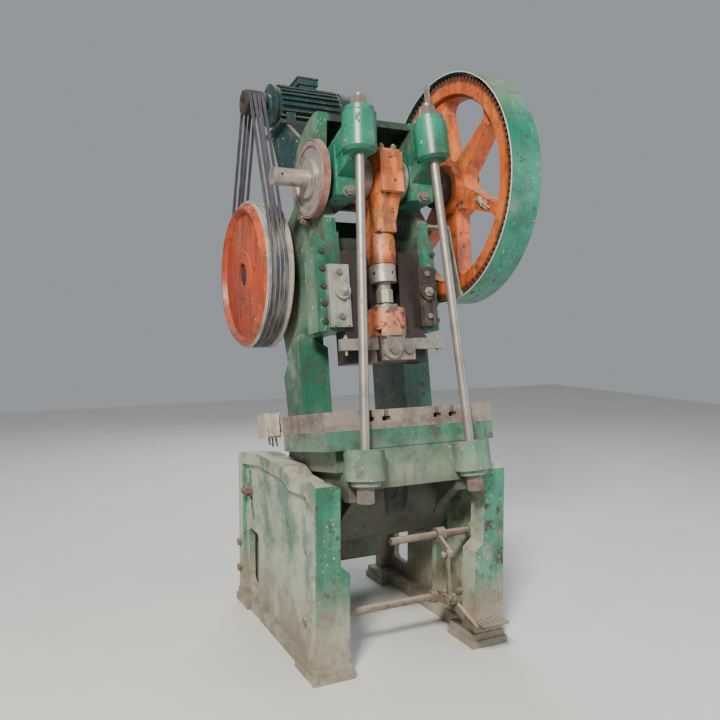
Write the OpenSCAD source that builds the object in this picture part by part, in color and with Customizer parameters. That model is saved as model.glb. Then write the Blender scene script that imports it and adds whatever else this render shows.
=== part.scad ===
// Geared open-back inclinable power press with front tie rods.
// Origin on the floor, in the middle of the four foot bolts. X to the right, Y to the back, Z up.
// The upper frame leans back about the trunnion. Its pieces are drawn upright in frame space:
// x across, v back from the tie-rod plane, u up from the lower tie-rod nuts.

/* [Stance] */
// Lean of the upper frame at rest, in degrees
lean = 9; // [8:0.5:10]
// Distance from the tie-rod plane back to the foot bolt centre
rods_to_foot_centre = 565; // [560:1:580]
// Height of the lower tie-rod nuts above the floor
frame_lift = 710; // [705:1:720]

/* [Legs] */
// Half width over the two legs
leg_half = 444; // [440:1:450]
// Front face of the leg posts behind the tie-rod plane
leg_front = 58; // [50:1:62]
// Back face of the legs behind the tie-rod plane
leg_back = 1060; // [1055:1:1080]
// Thickness of the leg web
web_t = 30; // [24:1:34]
// Half spacing of the foot bolts across
foot_bolt_x = 345; // [340:1:350]
// Half spacing of the foot bolts front to back
foot_bolt_y = 365; // [360:1:370]
// Diameter of a foot bolt hole
foot_bolt_d = 26; // [22:1:30]

/* [Incline] */
// Trunnion radius
trunnion_r = 60; // [55:1:64]
// Radial running clearance of the trunnion
trunnion_gap = 0.06; // [0.05:0.01:0.1]
// Distance from the trunnion to the incline clamp bolt
clamp_reach = 482; // [478:1:484]
// Radius of the incline clamp bolt
clamp_bolt_r = 15; // [12:1:16]

/* [Bed] */
// Half width of the bed flange and bolster
bed_half = 392; // [380:1:400]
// Thickness of the bed flange
bed_t = 76; // [70:1:80]
// Thickness of the bolster plate
bolster_t = 76; // [60:1:84]
// Radius of the drop hole
drop_r = 62; // [50:1:70]

/* [Slide] */
// Distance of the ram axis behind the tie-rod plane
ram_v = 205; // [203:1:207]
// Half width over the ram wings
wing_half = 194.9; // [194.8:0.05:194.95]
// Running clearance of the ram in its guides
guide_gap = 0.1; // [0.05:0.01:0.1]
// Radius of the round ram boss
ram_r = 86; // [82:1:88]
// Radius of the hole for the punch shank
shank_r = 25; // [20:1:28]
// Radius of the adjusting screw
screw_r = 33; // [30:1:34]
// Radius of the ball under the screw
ball_r = 46; // [42:1:47]

/* [Drive] */
// Distance of the crank axis behind the tie-rod plane
crank_v = 265; // [265:1:265]
// Height of the crank axis over the lower tie-rod nuts
crank_u = 1370; // [1365:1:1375]
// Throw of the crank, half the stroke
throw = 60; // [58:1:60]
// Radius of the main journals
journal_r = 60; // [56:1:62]
// Radial running clearance of the shafts
run_gap = 0.06; // [0.05:0.01:0.1]
// Gear module
gear_m = 9; // [9:1:9]
// Teeth of the bull gear
gear_z = 112; // [112:2:112]
// Teeth of the pinion
pinion_z = 26; // [26:2:26]
// Face width of the gear
gear_w = 120; // [100:1:124]
// Direction of the back shaft from the crank, in degrees below level
back_angle = 30.3; // [30:0.1:30.6]
// Radius of the flywheel rim
fly_r = 355; // [345:1:358]
// Radius of the back shaft
back_r = 40; // [36:1:44]

/* [Motor] */
// Distance of the motor axis behind the tie-rod plane
motor_v = 695; // [690:1:700]
// Height of the motor axis over the lower tie-rod nuts
motor_u = 1880; // [1875:1:1885]
// Radius over the motor fins
motor_r = 105; // [100:1:108]
// Radius of the motor pulley
pulley_r = 58; // [56:1:60]

/* [Hidden] */
$fn = 64;
eps = 0.01;
rod_r = 19;
rod_hole_r = 20;
rod_low_x = 248;
rod_high_x = 172;
rod_low_u = 145;
rod_high_u = 1490;
rod_splay = atan((rod_low_x - rod_high_x) / (rod_high_u - rod_low_u));
trunnion_y = 450;
trunnion_z = 660;
trunnion_v = trunnion_y * cos(lean) - (trunnion_z - frame_lift) * sin(lean);
trunnion_u = trunnion_y * sin(lean) + (trunnion_z - frame_lift) * cos(lean);
clamp_angle = -9.2;
clamp_v = trunnion_v + clamp_reach * cos(clamp_angle + lean);
clamp_u = trunnion_u + clamp_reach * sin(clamp_angle + lean);
post_w_low = 147;
post_w_high = 106;
post_back = 154;
leg_web_x = leg_half - 20;
lip_half = 330;
leg_rim_in = lip_half + 4;
face_gap = 0.1;
hub_r = 92;
rear_rim = 65;
top_rim = 55;
foot_h = 60;
bed_u = 206;
bed_top = bed_u + bed_t;
bolster_top = bed_top + bolster_t;
bed_front = 38;
bed_back = 508;
cheek_in = 205;
cheek_out = 255;
column_v = 215;
column_back = 330;
column_u = 700;
guide_back = 310;
throat_v = 430;
centre_d = gear_m * (gear_z + pinion_z) / 2;
back_v = crank_v + centre_d * cos(back_angle);
back_u = crank_u - centre_d * sin(back_angle);
gear_x0 = 392;
gear_seat_r = 52;
gear_end_r = 34;
gear_tip = gear_m * (gear_z / 2 + 1);
pinion_tip = gear_m * (pinion_z / 2 + 1);
guard_x0 = 378;
guard_w = 153;
guard_t = 4;
guard_play = 14;
pinion_play = 16;
guard_r = gear_tip + guard_play + guard_t;
guard_low_r = pinion_tip + pinion_play + guard_t;
fly_x0 = -430;
fly_x1 = -315;
crown_r = 295;
crown_t = 36;
bush_t = 14;
cap_front = 120;
rod_face = 55;
pin_r = 45;
stub_r = 37.5;
pin_bush_r = 52;
slot_play = 1.5;
slot_step = 10;
low_shaft = [200, 200];
high_shaft = [200, 474];
pedal_pin = [75, 235];
lever_pin = [90, 420];
belt_pitch = 21;
belt_first = -410.5;
belts = 4;
belt_half = 6.6;
belt_play = 0.3;
belt_thick = 6;
belt_seat = 10;
groove_slope = 0.3;
groove_deep = 10;
pulley_seat = 1;
column_bolt_x = [-285, 264];
gib_bolt_x = [-220, 211];
gib_bolt_u = [760, 950];
bar_v = 144;
bar_t = 28;
bar_pin_x = 222;
bar_pin_r = 6;

// Points on an arc from angle a0 to a1, both ends included.
function arc(cx, cy, r, a0, a1, n) =
  [for (i = [0:n]) let (a = a0 + (a1 - a0) * i / n) [cx + r * cos(a), cy + r * sin(a)]];

// Outline of a plate seen from its side, pushed from x0 to x1. The outline's axes are Y and Z.
module side_plate(x0, x1) {
  translate([x0, 0, 0]) rotate([90, 0, 90]) linear_extrude(x1 - x0) children();
}

// Outline seen from the front, pushed from y0 back to y1. The outline's axes are X and Z.
module front_plate(y0, y1) {
  translate([0, y1, 0]) rotate([90, 0, 0]) linear_extrude(y1 - y0) children();
}

// Cylinder along X through (y, z).
module bar_x(x0, x1, y, z, r) {
  translate([x0, y, z]) rotate([0, 90, 0]) cylinder(r = r, h = x1 - x0);
}

// Cylinder along Y through (x, z).
module bar_y(y0, y1, x, z, r) {
  translate([x, y1, z]) rotate([90, 0, 0]) cylinder(r = r, h = y1 - y0);
}

// Hexagon along Y, across flats 2 * r.
module hex_y(y0, y1, x, z, r) {
  translate([x, y1, z]) rotate([90, 0, 0]) cylinder(r = r / cos(30), h = y1 - y0, $fn = 6);
}

// Hexagon along X.
module hex_x(x0, x1, y, z, r) {
  translate([x0, y, z]) rotate([0, 90, 0]) cylinder(r = r / cos(30), h = x1 - x0, $fn = 6);
}

module box(x0, x1, y0, y1, z0, z1) {
  translate([x0, y0, z0]) cube([x1 - x0, y1 - y0, z1 - z0]);
}

// Stand space: y is measured back from the tie-rod plane.
module on_floor() {
  translate([0, -rods_to_foot_centre, 0]) children();
}

// Frame space, leaned back at rest.
module on_frame() {
  translate([0, -rods_to_foot_centre, frame_lift]) rotate([-lean, 0, 0]) children();
}

module both_sides() {
  children();
  mirror([1, 0, 0]) children();
}

// Stand

module leg_outline() {
  polygon([
    [leg_front, 0], [leg_front, 775], [100, 792], [post_back, 775], [210, 758], [350, 762],
    [430, 790], [760, 790], [1000, 758], [leg_back, 740], [leg_back, 0]
  ]);
}

module leg_inner_outline() {
  polygon([
    [post_back, foot_h], [post_back, 720], [350, 705], [430, 735], [760, 735],
    [leg_back - rear_rim, 700], [leg_back - rear_rim, foot_h]
  ]);
}

module leg_slot() {
  r = clamp_bolt_r + 2;
  a0 = clamp_angle + lean + 0.4;
  a1 = clamp_angle - 16.4;
  polygon(concat(
    arc(trunnion_y, trunnion_z, clamp_reach + r, a0, a1, 16),
    arc(trunnion_y, trunnion_z, clamp_reach - r, a1, a0, 16)
  ));
  for (a = [a0, a1])
    translate([trunnion_y + clamp_reach * cos(a), trunnion_z + clamp_reach * sin(a)]) circle(r);
}

module post_outline() {
  polygon([
    [-leg_half, 0], [-leg_half, 792], [-leg_half + 28, 792], [-leg_half + post_w_high, 762],
    [-leg_half + post_w_high, 454], [-leg_half + post_w_low, 419], [-leg_half + post_w_low, 0]
  ]);
}

module foot_pad(y0, y1) {
  box(-leg_half - 16, -leg_half + 165, y0, y1, 0, 32);
  box(-leg_half - 8, -leg_half + 157, y0 + 8, y1 - 8, 32, foot_h);
}

module leg() {
  color("#2f8f68") on_floor() difference() {
    union() {
      side_plate(-leg_web_x, -leg_web_x + web_t) leg_outline();
      // rim round the panel
      difference() {
        side_plate(-leg_half, -leg_rim_in) leg_outline();
        side_plate(-leg_half - 1, -leg_rim_in + 1) leg_inner_outline();
        box(-leg_half - 1, -leg_rim_in + 1, leg_front - 1, post_back + eps, -1, 800);
      }
      intersection() {
        front_plate(leg_front, post_back) post_outline();
        side_plate(-leg_half - 1, 0) leg_outline();
      }
      foot_pad(leg_front - 14, 245);
      foot_pad(885, leg_back + 8);
      bar_x(-leg_web_x, -300, trunnion_y, trunnion_z, hub_r);
      // rib from the hub down to the sill
      box(-leg_web_x + web_t - eps, -335, trunnion_y - 18, trunnion_y + 18, foot_h - 10, trunnion_z - 60);
      // seats of the cross shafts
      bar_x(-leg_web_x, -372, low_shaft[0], low_shaft[1], 34);
      bar_x(-leg_web_x, -372, high_shaft[0], high_shaft[1], 34);
    }
    bar_x(-392, -299, trunnion_y, trunnion_z, trunnion_r + trunnion_gap);
    side_plate(-leg_half - 1, -300) leg_slot();
    for (y = [-1, 1])
      translate([-foot_bolt_x, rods_to_foot_centre + y * foot_bolt_y, -1]) cylinder(d = foot_bolt_d, h = foot_h + 2);
    bar_x(-leg_half, -340, low_shaft[0], low_shaft[1], 16);
    bar_x(-leg_half, -340, high_shaft[0], high_shaft[1], 16 + run_gap);
    // window at the rear of the web
    side_plate(-leg_half, -leg_rim_in) polygon(concat(
      arc(840, 150, 30, 180, 270, 6), arc(925, 150, 30, 270, 360, 6),
      arc(925, 360, 30, 0, 90, 6), arc(840, 360, 30, 90, 180, 6)
    ));
    for (z = [170, 300]) bar_x(-leg_half - 1, -310, leg_back - 32, z, 11);
  }
}

module leg_left() { leg(); }

module leg_right() { mirror([1, 0, 0]) leg(); }

module rear_spreader() {
  color("#2b6f55") on_floor() difference() {
    union() {
      box(-leg_rim_in, leg_rim_in, leg_back - 64, leg_back - 53, 130, 340);
      both_sides() box(-leg_rim_in, -leg_rim_in + 20, leg_back - 64, leg_back, 130, 340);
      box(-leg_rim_in, leg_rim_in, leg_back - 54, leg_back - 10, 225, 245);
    }
    both_sides() for (z = [170, 300]) bar_x(-leg_rim_in - 1, -leg_rim_in + 21, leg_back - 32, z, 11);
  }
}

module spreader_bolts() {
  color("#6d655c") on_floor() both_sides() for (z = [170, 300]) {
    bar_x(-leg_half - 4, -leg_rim_in + 40, leg_back - 32, z, 10);
    hex_x(-leg_half - 18, -leg_half, leg_back - 32, z, 17);
    bar_x(-leg_rim_in + 20, -leg_rim_in + 24, leg_back - 32, z, 19);
    hex_x(-leg_rim_in + 24, -leg_rim_in + 38, leg_back - 32, z, 16);
  }
}

// Pedal and trip

module pedal_shaft() {
  color("#7c7467") on_floor() {
    bar_x(-leg_half + 6, leg_half - 6, low_shaft[0], low_shaft[1], 16);
    for (x = [160, 236]) bar_x(x, x + 14, low_shaft[0], low_shaft[1], 26);
  }
}

module pedal_arm() {
  color("#6b6256") on_floor() difference() {
    union() {
      bar_x(175, 235, low_shaft[0], low_shaft[1], 28);
      side_plate(184, 200) polygon([
        [205, 176], [100, 196], [60, 212], [52, 232], [60, 254], [90, 252], [205, 226]
      ]);
      side_plate(214, 230) polygon([
        [205, 176], [60, 168], [-70, 140], [-70, 158], [60, 200], [205, 226]
      ]);
      // yoke round the link's lower eye
      side_plate(160, 168) polygon([[60, 215], [92, 215], [92, 250], [60, 250]]);
      box(160, 186, 93, 101, 200, 238);
      box(160, 168, 90, 101, 215, 250);
      bar_x(158, 200, pedal_pin[0], pedal_pin[1], 7);
      front_plate(-70, -20) polygon([[214, 140], [356, 140], [356, 150], [214, 150]]);
    }
    bar_x(170, 240, low_shaft[0], low_shaft[1], 16 + run_gap);
  }
}

module pedal_pad() {
  color("#8d8273") on_floor() {
    box(232, 362, -98, -12, 150 + 8, 166);
    for (i = [0:4]) box(244 + 24 * i, 254 + 24 * i, -92, -18, 166, 170);
    box(240, 354, -70, -20, 150, 158);
  }
}

module trip_link() {
  color("#8a8378") on_floor() difference() {
    union() {
      hull_bar(pedal_pin, lever_pin, 169.5, 182.5, 9);
      bar_x(169, 183, pedal_pin[0], pedal_pin[1], 15);
      bar_x(169, 183, lever_pin[0], lever_pin[1], 19);
    }
    bar_x(168, 184, pedal_pin[0], pedal_pin[1], 7 + run_gap);
    bar_x(168, 184, lever_pin[0], lever_pin[1], 10.5);
  }
}

// Flat bar between two points of the side view.
module hull_bar(p, q, x0, x1, half) {
  d = q - p;
  side_plate(x0, x1) translate(p) rotate(atan2(d[1], d[0])) translate([0, -half]) square([norm(d), 2 * half]);
}

module trip_shaft() {
  color("#7c7467") on_floor() {
    bar_x(-40, leg_half - 8, high_shaft[0], high_shaft[1], 16);
    bar_x(leg_half - 8, leg_half + 12, high_shaft[0], high_shaft[1], 24);
    bar_x(352, 371.9, high_shaft[0], high_shaft[1], 26);
  }
}

module trip_lever() {
  color("#75695c") on_floor() difference() {
    union() {
      bar_x(184.5, 226, high_shaft[0], high_shaft[1], 30);
      hull_bar(high_shaft, lever_pin, 184.5, 198, 14);
      bar_x(184.5, 198, lever_pin[0], lever_pin[1], 17);
      bar_x(160, 185, lever_pin[0], lever_pin[1], 8);
      translate([156, lever_pin[0], lever_pin[1]]) sphere(14);
    }
    bar_x(184, 227, high_shaft[0], high_shaft[1], 16);
  }
}

// Inclinable frame

module cheek_outline() {
  polygon(concat(
    [[60, 40], [150, -20]],
    arc(trunnion_v, trunnion_u, 232, 205, 300, 10),
    [[760, -90], [930, -45]],
    arc(clamp_v, clamp_u, 48, -90, 80, 8),
    [[850, 130], [770, 300], [765, 620], [830, 860]],
    arc(back_v, back_u, 80, -60, 70, 8),
    [[760, 1200], [640, 1290]],
    arc(crank_v, crank_u, crown_r, -8, 98, 14),
    [[crank_v, crank_u + 108], [crank_v, crank_u - 108], [column_v, 1190], [column_v, column_u],
     [throat_v, column_u], [throat_v, bed_top], [60, bed_top]]
  ));
}

// Post beside the slide: front view cut by side view.
module column(x_out) {
  intersection() {
    front_plate(column_v, column_back) polygon([
      [x_out, column_u], [195, column_u], [195, 1035], [x_out - 18, 1112], [x_out, 1112]
    ]);
    side_plate(190, x_out) polygon([
      [column_v, column_u - 8], [column_back, column_u - 8], [column_back, 1010], [column_v, 1113]
    ]);
  }
}

// Thick lip of the throat beside the bolster.
module throat_lip() {
  intersection() {
    front_plate(throat_v - 12, 640) polygon([
      [190, bed_u], [lip_half, bed_u], [lip_half, 700], [305, 718], [190, 655]
    ]);
    side_plate(180, lip_half + 1) polygon([
      [throat_v - 12, bed_u], [600, bed_u], [604, 400], [625, 540], [452, 720], [throat_v - 12, 720]
    ]);
  }
}

module tie_axis(side) {
  translate([side * rod_low_x, 0, rod_low_u]) rotate([0, -side * rod_splay, 0]) children();
}

module lower_boss(side) {
  tie_axis(side) {
    translate([0, 0, 85 - rod_low_u]) cylinder(r = 77, h = 120);
    translate([0, 0, 64 - rod_low_u]) cylinder(r = 58, h = 22);
  }
}

module frame_body() {
  both_sides() side_plate(cheek_in, cheek_out) cheek_outline();
  column(275);
  mirror([1, 0, 0]) column(315);
  both_sides() throat_lip();
  // bed flange, apron and walls
  box(-bed_half, bed_half, bed_front, bed_back, bed_u, bed_top);
  front_plate(42, 86) polygon([
    [-300, 96], [-250, 45], [262, 45], [300, 74], [300, bed_u + 4], [-300, bed_u + 4]
  ]);
  both_sides() box(cheek_out - eps, lip_half - 2, 100, 560, 118, bed_u + 4);
  both_sides() box(200, 298, 60, 560, 0, 120);
  // rounded belly about the trunnion
  difference() {
    bar_x(-262, 282, trunnion_v, trunnion_u, 226);
    bar_x(-206, 206, trunnion_v, trunnion_u, 190);
    box(-300, 300, 100, 800, bed_u - 10, 400);
    box(-206, 206, 560, 800, -300, 300);
  }
  both_sides() bar_x(-296, -255, trunnion_v, trunnion_u, 104);
  both_sides() bar_x(-386, -255, trunnion_v, trunnion_u, trunnion_r);
  both_sides() bar_x(-390, -250, clamp_v, clamp_u, 44);
  // arms of the lower tie-rod bosses
  for (s = [-1, 1]) {
    lower_boss(s);
    translate([s * rod_low_x, 0, 0]) box(-64, 64, 0, 60, 92, 204);
  }
  // ram back guide, crown roof and rear cross wall
  box(-cheek_in - 1, cheek_in + 1, guide_back + guide_gap, 352, column_u, 1130);
  both_sides() box(wing_half + guide_gap, 256, column_v, 352, column_u, 1130);
  difference() {
    bar_x(-cheek_in - 1, cheek_in + 1, crank_v, crank_u, crown_r - 5);
    bar_x(-cheek_in - 2, cheek_in + 2, crank_v, crank_u, crown_r - crown_t);
    box(-300, 300, -100, crank_v - 40, 1000, 1700);
    box(-300, 300, -100, 700, 1000, crank_u - 40);
  }
  box(-cheek_in - 1, cheek_in + 1, 600, 640, 1150, 1290);
  // rear halves of the crankshaft bearings
  both_sides() box(125, 235, crank_v, 400, crank_u - 108, crank_u + 108);
  // back-shaft bearing bosses
  both_sides() bar_x(190, 270, back_v, back_u, 92);
}

module press_frame() {
  color("#2f8f68") on_frame() difference() {
    frame_body();
    both_sides() bar_x(120, 300, crank_v, crank_u, journal_r + bush_t);
    both_sides() bar_x(185, 275, back_v, back_u, back_r + bush_t);
    translate([0, ram_v, -300]) cylinder(r = drop_r, h = 300 + bed_top + 1);
    for (s = [-1, 1]) tie_axis(s) translate([0, 0, -120]) cylinder(r = rod_hole_r, h = 240);
    both_sides() bar_x(-391, -330, clamp_v, clamp_u, clamp_bolt_r);
    // slots and holes for the bolster bolts
    for (x = [-250, 250], v = [110, 360]) translate([x, v, bed_top - 50]) cylinder(r = 12, h = 60);
    for (v = [150, 302, 457]) bar_x(-bed_half - 1, -bed_half + 22, v, bed_u + 22, 5);
    for (v = [150, 302, 457]) bar_x(-bed_half - 1, -bed_half + 22, v, bed_u + 50, 5);
    // stud holes for the bearing caps
    both_sides() for (u = [-92, 92]) bar_y(crank_v - 1, crank_v + 70, 180, crank_u + u, 12);
    // gib bolt holes
    for (x = column_bolt_x, u = [745:75:1045]) bar_y(column_v - 1, column_v + 50, x, u, 8);
    for (x = gib_bolt_x, u = gib_bolt_u) bar_y(column_v - 1, column_v + 50, x, u, 8);
  }
}

module clamp_bolts() {
  color("#7d6a55") on_frame() both_sides() {
    bar_x(-leg_web_x - 46, -331, clamp_v, clamp_u, clamp_bolt_r);
    bar_x(-leg_web_x - 8, -leg_web_x - face_gap, clamp_v, clamp_u, 34);
    hex_x(-leg_web_x - 34, -leg_web_x - 8, clamp_v, clamp_u, 24);
  }
}

module bolster_plate() {
  color("#8b7a6c") on_frame() difference() {
    union() {
      box(-bed_half, bed_half, bed_front, throat_v - 14, bed_top, bolster_top);
      both_sides() box(lip_half + 2, bed_half, throat_v - 15, bed_back, bed_top, bolster_top);
    }
    translate([0, ram_v, bed_top - 1]) cylinder(r = drop_r + 3, h = bolster_t + 2);
    // T-slots from the front edge
    both_sides() for (x = [120, 195]) {
      box(x - 11, x + 11, bed_front - 1, throat_v - 13, bolster_top - 30, bolster_top + 1);
      box(x - 20, x + 20, bed_front - 1, throat_v - 13, bolster_top - 46, bolster_top - 28);
    }
    for (x = [-250, 250], v = [110, 360]) {
      translate([x, v, bed_top - 1]) cylinder(r = 12, h = 80);
      translate([x, v, bolster_top - 26]) cylinder(r = 20, h = 30);
    }
    for (v = [127, 280, 433]) bar_x(-bed_half - 1, -bed_half + 22, v, bed_top + 48, 8);
  }
}

module bolster_bolts() {
  color("#655f58") on_frame() for (x = [-250, 250], v = [110, 360]) translate([x, v, 0]) difference() {
    union() {
      translate([0, 0, bed_top - 48]) cylinder(r = 11.9, h = bolster_t + 24);
      translate([0, 0, bolster_top - 25.9]) cylinder(r = 19, h = 22);
    }
    translate([0, 0, bolster_top - 15]) cylinder(r = 8, h = 20, $fn = 6);
  }
}

module tie_rod(side) {
  color("#8f8d88") on_frame() tie_axis(side) {
    translate([0, 0, -150]) cylinder(r = rod_r, h = 1656);
    translate([0, 0, 1506]) cylinder(r1 = rod_r, r2 = rod_r - 4, h = 5);
  }
}

module tie_rod_left() { tie_rod(-1); }

module tie_rod_right() { tie_rod(1); }

// Hexagon nut on a tie rod, between two stations along it.
module rod_nut(z0, z1, r) {
  difference() {
    intersection() {
      translate([0, 0, z0]) cylinder(r = r / cos(30), h = z1 - z0, $fn = 6);
      translate([0, 0, z0 - 2]) cylinder(r1 = r - 1, r2 = r - 1 + (z1 - z0 + 4), h = z1 - z0 + 4);
      translate([0, 0, z0 - 2]) cylinder(r1 = r + 3 + (z1 - z0), r2 = r - 1, h = z1 - z0 + 4);
    }
    translate([0, 0, z0 - 3]) cylinder(r = rod_r + run_gap, h = z1 - z0 + 6);
  }
}

module tie_rod_nuts() {
  color("#85817b") on_frame() for (s = [-1, 1]) tie_axis(s) {
    rod_nut(-147, -90, 33);
    difference() {
      translate([0, 0, -90]) cylinder(r = 42, h = 9);
      translate([0, 0, -91]) cylinder(r = rod_r + run_gap, h = 12);
    }
    difference() {
      translate([0, 0, 1445]) cylinder(r = 40, h = 8);
      translate([0, 0, 1444]) cylinder(r = rod_r + run_gap, h = 10);
    }
    rod_nut(1453, 1492, 32);
  }
}

module bearing_cap(side) {
  color("#2f9a70") on_frame() difference() {
    union() {
      translate([side * 180, 0, 0]) box(-55, 55, cap_front, crank_v - 0.1, crank_u - 108, crank_u + 108);
      tie_axis(side) {
        translate([0, 0, 1270]) cylinder(r = 72, h = 150);
        translate([0, 0, 1420]) cylinder(r = 62, h = 25);
        translate([0, 0, 1258]) cylinder(r1 = 56, r2 = 72, h = 12.1);
      }
      hull() {
        translate([side * 174, 0, 1440]) cylinder(r = 58, h = 90, $fn = 32);
        translate([side * 180, 0, 0]) box(-50, 50, 150, 225, crank_u + 40, crank_u + 108);
      }
      hull() {
        translate([side * 174, 10, 1415]) cylinder(r = 50, h = 20, $fn = 32);
        translate([side * 180, 0, 0]) box(-48, 48, cap_front, 160, crank_u - 30, crank_u + 60);
      }
    }
    bar_x(side * 180 - 60, side * 180 + 60, crank_v, crank_u, journal_r + bush_t);
    tie_axis(side) translate([0, 0, 1200]) cylinder(r = rod_hole_r, h = 300);
    for (u = [-92, 92]) bar_y(0, crank_v + 1, side * 180, crank_u + u, 12);
    // flat seat for the nuts
    bar_y(0, cap_front, side * 180, crank_u - 92, 30);
  }
}

module bearing_cap_left() { bearing_cap(-1); }

module bearing_cap_right() { bearing_cap(1); }

module bearing_cap_nuts() {
  color("#8a8073") on_frame() both_sides() {
    bar_y(cap_front - 34, crank_v + 68, 180, crank_u - 92, 11.9);
    bar_y(cap_front - 5, cap_front - 0.1, 180, crank_u - 92, 26);
    hex_y(cap_front - 27, cap_front - 5, 180, crank_u - 92, 20);
    bar_y(150, crank_v + 68, 180, crank_u + 92, 11.9);
  }
}

module crank_bushes() {
  color("#a8823c") on_frame() both_sides() difference() {
    bar_x(124, 258, crank_v, crank_u, journal_r + bush_t);
    bar_x(123, 259, crank_v, crank_u, journal_r + run_gap);
  }
}

module gib_plate(x0, x1) {
  difference() {
    union() {
      box(x0, x1, column_v - 28, column_v, 715, 982);
      for (x = [x0 + 12, x1 - 22]) box(x, x + 10, column_v - 36, column_v - 27, 720, 830);
      bar_y(column_v - 48, column_v - 27, (x0 + x1) / 2 - 8, 866, 34);
    }
    bar_y(column_v - 50, column_v + 1, (x0 + x1) / 2 - 8, 866, 12);
    for (u = gib_bolt_u) bar_y(column_v - 50, column_v + 1, (x0 + x1) / 2, u, 8);
  }
}

module gib_left() {
  color("#9a958a") on_frame() mirror([1, 0, 0]) gib_plate(172, 268);
}

module gib_right() {
  color("#5c5852") on_frame() gib_plate(172, 250);
}

module gib_bolts() {
  color("#7e7466") on_frame() for (x = column_bolt_x, u = [745:75:1045]) {
    bar_y(column_v - 8, column_v + 49, x, u, 7.9);
    hex_y(column_v - 12, column_v - 0.1, x, u, 11);
  }
  color("#7e7466") on_frame() for (x = gib_bolt_x, u = gib_bolt_u) {
    bar_y(column_v - 36, column_v + 49, x, u, 7.9);
    hex_y(column_v - 40, column_v - 28.1, x, u, 11);
  }
}

module gib_adjusters() {
  color("#a39a8c") on_frame() for (x = [-212, 203]) {
    bar_y(column_v - 60, column_v - 1, x, 866, 11.9);
    hex_y(column_v - 60, column_v - 48.1, x, 866, 18);
    translate([x, column_v - 66, 866]) sphere(13);
  }
}

module back_shaft_bushes() {
  color("#a8823c") on_frame() both_sides() difference() {
    bar_x(188, 272, back_v, back_u, back_r + bush_t);
    bar_x(187, 273, back_v, back_u, back_r + run_gap);
  }
}

module motor_bracket() {
  color("#24584a") on_frame() {
    box(-285, 40, motor_v - 115, motor_v + 115, motor_u - 128, motor_u - 110);
    // each plate is cut to the crown that carries it
    for (p = [[-cheek_out, crown_r], [-20, crown_r - 5]]) difference() {
      side_plate(p[0], p[0] + 20) polygon([
        [400, 1590], [530, 1420], [720, 1560], [motor_v + 105, motor_u - 128], [motor_v - 105, motor_u - 128]
      ]);
      bar_x(p[0] - 1, p[0] + 21, crank_v, crank_u, p[1]);
    }
  }
}

module motor_body() {
  color("#1f5a52") on_frame() difference() {
    union() {
      bar_x(-292, 60, motor_v, motor_u, motor_r - 14);
      for (a = [0:15:345]) translate([0, motor_v, motor_u]) rotate([a, 0, 0])
        box(-262, 34, -2.5, 2.5, motor_r - 22, motor_r);
      for (x = [-300, 52]) bar_x(x, x + 18, motor_v, motor_u, motor_r - 2);
      bar_x(-312, -299, motor_v, motor_u, 52);
      for (x = [-240, -20]) box(x, x + 44, motor_v - 92, motor_v + 92, motor_u - 110, motor_u - 60);
      box(-150, -60, motor_v - 45, motor_v + 45, motor_u + 60, motor_u + motor_r + 4);
    }
    bar_x(-313, 45, motor_v, motor_u, 17 + run_gap);
  }
}

module motor_fan_cover() {
  color("#1c4d47") on_frame() difference() {
    bar_x(70.1, 128, motor_v, motor_u, motor_r - 4);
    bar_x(70, 124, motor_v, motor_u, motor_r - 8);
    for (i = [-4:4]) box(120, 130, motor_v - 66, motor_v + 66, motor_u + 16 * i - 3, motor_u + 16 * i + 3);
  }
}

module terminal_box() {
  color("#1f5a52") on_frame() {
    box(-158, -52, motor_v - 53, motor_v + 53, motor_u + motor_r + 4.1, motor_u + motor_r + 34);
    box(-162, -48, motor_v - 57, motor_v + 57, motor_u + motor_r + 34, motor_u + motor_r + 42);
    bar_y(motor_v + 53, motor_v + 74, -105, motor_u + motor_r + 19, 11);
  }
}

module gear_guard() {
  color("#2f9a70") on_frame() difference() {
    union() {
      bar_x(guard_x0, guard_x0 + guard_w, crank_v, crank_u, guard_r);
      bar_x(guard_x0, guard_x0 + guard_w, back_v, back_u, guard_low_r);
    }
    bar_x(guard_x0 - 1, guard_x0 + guard_w + 1, crank_v, crank_u, guard_r - guard_t);
    bar_x(guard_x0 - 1, guard_x0 + guard_w + 1, back_v, back_u, guard_low_r - guard_t);
  }
}

module guard_straps() {
  color("#8b8578") on_frame() for (strap = [[-100, 190], [85, 240], [12, 240]]) {
    translate([0, crank_v, crank_u]) rotate([strap[0], 0, 0]) {
      box(364, 372, strap[1], guard_r - 0.2, -18, 18);
      box(364, guard_x0 - 0.1, guard_r - 22, guard_r - 0.2, -18, 18);
      box(cheek_out + 0.1, 372, strap[1], strap[1] + 12, -18, 18);
    }
  }
}

module brake_drum() {
  color("#9b948b") on_frame() difference() {
    union() {
      difference() {
        bar_x(-298, -264, crank_v, crank_u, 158);
        bar_x(-299, -290, crank_v, crank_u, 140);
      }
      bar_x(-306, -262, crank_v, crank_u, 82);
    }
    bar_x(-307, -261, crank_v, crank_u, 50);
  }
}

// Open ring about the crank axis, with its gap at the lower rear.
module brake_ring(r0, r1, x0, x1) {
  difference() {
    bar_x(x0, x1, crank_v, crank_u, r1);
    bar_x(x0 - 1, x1 + 1, crank_v, crank_u, r0);
    translate([0, crank_v, crank_u]) rotate([-48, 0, 0]) box(x0 - 1, x1 + 1, 100, 200, -16, 16);
  }
}

module brake_lining() {
  color("#6f5a4c") on_frame() brake_ring(158.4, 163.9, -296, -266);
}

module brake_band() {
  color("#a07f78") on_frame() {
    brake_ring(164, 167, -298, -264);
    translate([0, crank_v, crank_u]) rotate([-48, 0, 0]) difference() {
      for (s = [-1, 1]) box(-298, -264, 164, 200, s * 18 - 2.5, s * 18 + 2.5);
      translate([-281, 184, -30]) cylinder(r = 8, h = 60);
    }
  }
}

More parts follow.
